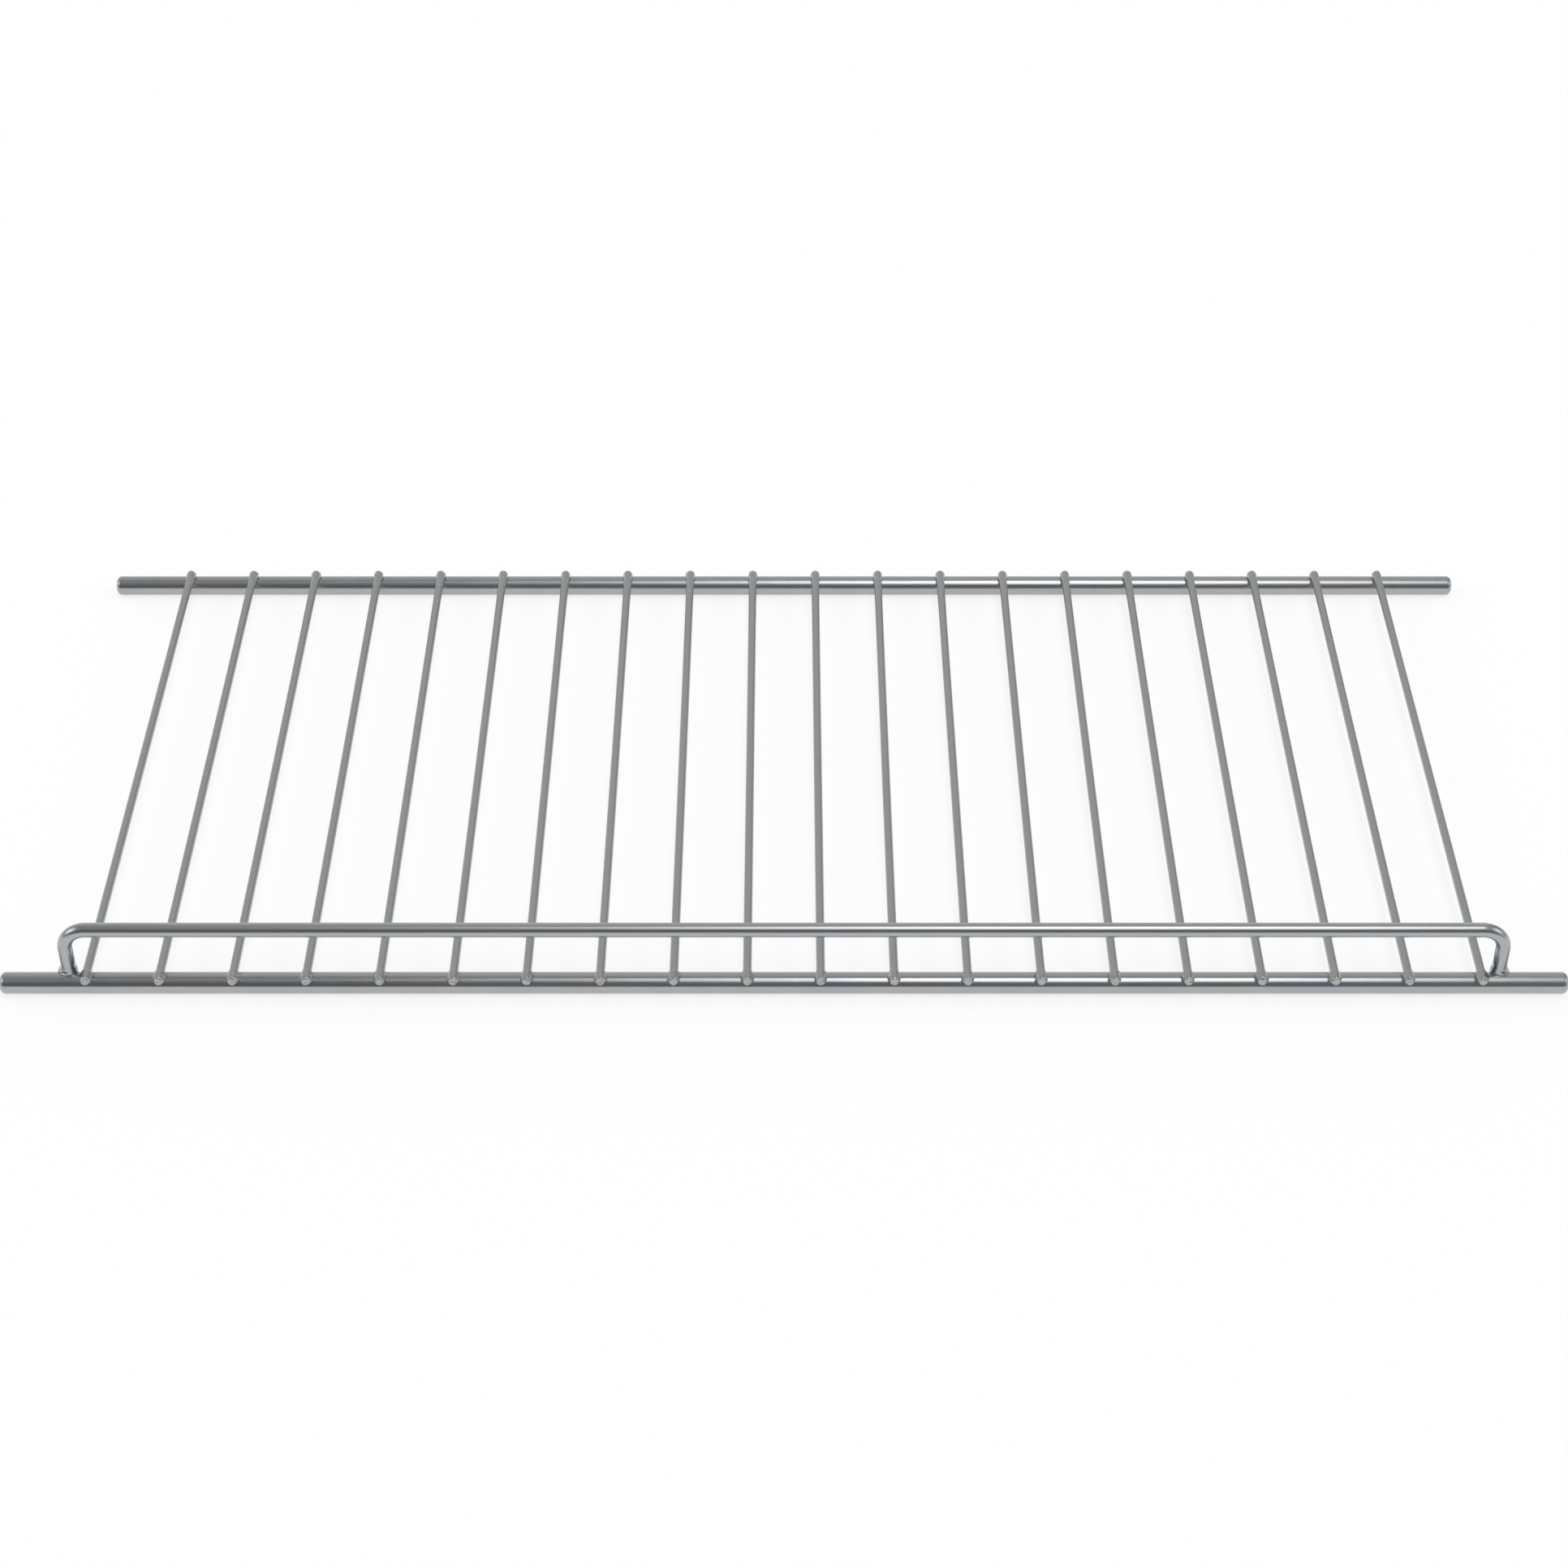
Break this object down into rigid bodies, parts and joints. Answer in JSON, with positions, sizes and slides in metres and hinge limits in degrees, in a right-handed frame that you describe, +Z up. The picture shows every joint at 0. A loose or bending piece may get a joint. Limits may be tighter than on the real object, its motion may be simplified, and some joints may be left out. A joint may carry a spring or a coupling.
{
  "type": "refrigerator wire shelf",
  "caption": "Flat shelf of thin parallel wires welded across a front and a rear rod, with a low bent guard rail on the front rod; slides into grooves in a refrigerator's side walls.",
  "frame": {"origin": "midway between the centre lines of the two carrying rods, on the surface that the rods rest on", "axes": "+X along the rods to the right as seen from the front, +Y from the front rod to the rear rod, +Z up"},
  "size_m": [0.428, 0.1952, 0.0225],
  "materials": {
    "plated_rod": "satin",
    "plated_wire": "satin"
  },
  "bodies": {
    "root": {"front_rod": "plated_rod", "rear_rod": "plated_rod", "front_rail": "plated_rod", "cross_wire_01": "plated_wire", "cross_wire_02": "plated_wire", "cross_wire_03": "plated_wire", "cross_wire_04": "plated_wire", "cross_wire_05": "plated_wire", "cross_wire_06": "plated_wire", "cross_wire_07": "plated_wire", "cross_wire_08": "plated_wire", "cross_wire_09": "plated_wire", "cross_wire_10": "plated_wire", "cross_wire_11": "plated_wire", "cross_wire_12": "plated_wire", "cross_wire_13": "plated_wire", "cross_wire_14": "plated_wire", "cross_wire_15": "plated_wire", "cross_wire_16": "plated_wire", "cross_wire_17": "plated_wire", "cross_wire_18": "plated_wire", "cross_wire_19": "plated_wire", "cross_wire_20": "plated_wire"}
  },
  "joints": []
}
